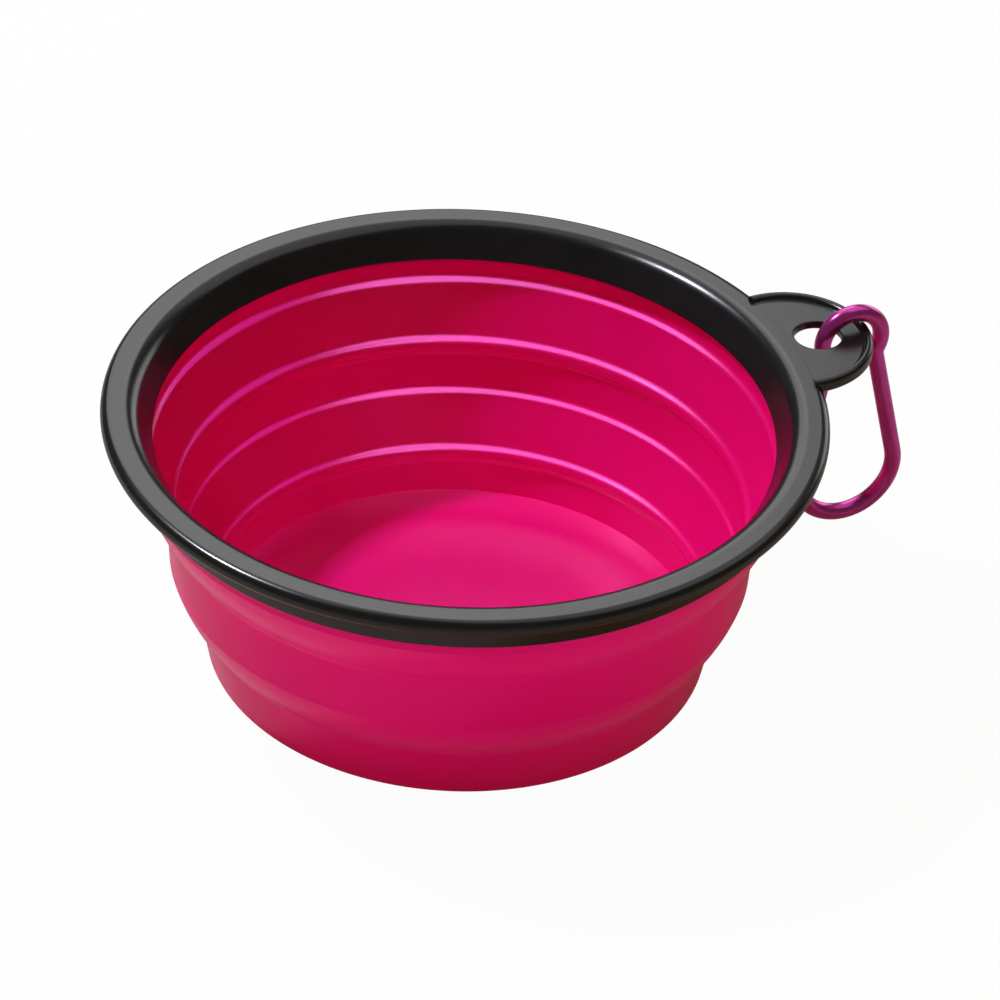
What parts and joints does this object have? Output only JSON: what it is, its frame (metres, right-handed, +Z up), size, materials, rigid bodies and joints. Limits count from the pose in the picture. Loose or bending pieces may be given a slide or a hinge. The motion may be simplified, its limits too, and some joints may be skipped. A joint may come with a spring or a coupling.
{
  "type": "collapsible silicone bowl",
  "caption": "Round travel bowl with a folding silicone cup in a stiff rim, and a small sprung-gate carabiner hung from the hole in the rim's tab.",
  "frame": {"origin": "middle of the flat underside of the base, on the surface that the open bowl stands on", "axes": "+Z up along the bowl's axis, +X towards the tab and the carabiner"},
  "size_m": [0.1532, 0.13, 0.057],
  "materials": {
    "rim_plastic": "gloss black",
    "silicone": "satin magenta",
    "anodised_rod": "anodised magenta",
    "pin_steel": "plain"
  },
  "bodies": {
    "rim": {"rim_ring": "rim_plastic", "top_tier": "silicone", "upper_fold_web": "silicone"},
    "middle": {"middle_tier": "silicone", "lower_fold_web": "silicone"},
    "base": {"base_cup": "silicone"},
    "carabiner": {"carabiner_body": "anodised_rod"},
    "gate": {"carabiner_gate": "anodised_rod", "gate_rivet": "pin_steel", "latch_pin": "pin_steel", "gate_spring": "pin_steel"}
  },
  "joints": [
    {"name": "upper_fold", "type": "slide", "parent": "rim", "child": "middle", "axis": [0, 0, 1], "range_m": [0, 0.0196], "deforming": ["upper_fold_web"]},
    {"name": "lower_fold", "type": "slide", "parent": "middle", "child": "base", "axis": [0, 0, 1], "range_m": [0, 0.0182], "deforming": ["lower_fold_web"]},
    {"name": "carabiner_swing", "type": "hinge", "parent": "rim", "child": "carabiner", "pos_m": [0.07593, 0, 0.04957], "axis": [0, -1, 0], "range_deg": [-20, 150]},
    {"name": "gate_swing", "type": "hinge", "parent": "carabiner", "child": "gate", "pos_m": [0.07081, 0, 0.04317], "axis": [0, -1, 0], "range_deg": [0, 24], "stiffness_Nm_per_rad": 0.03, "springref_deg": -22.92}
  ]
}
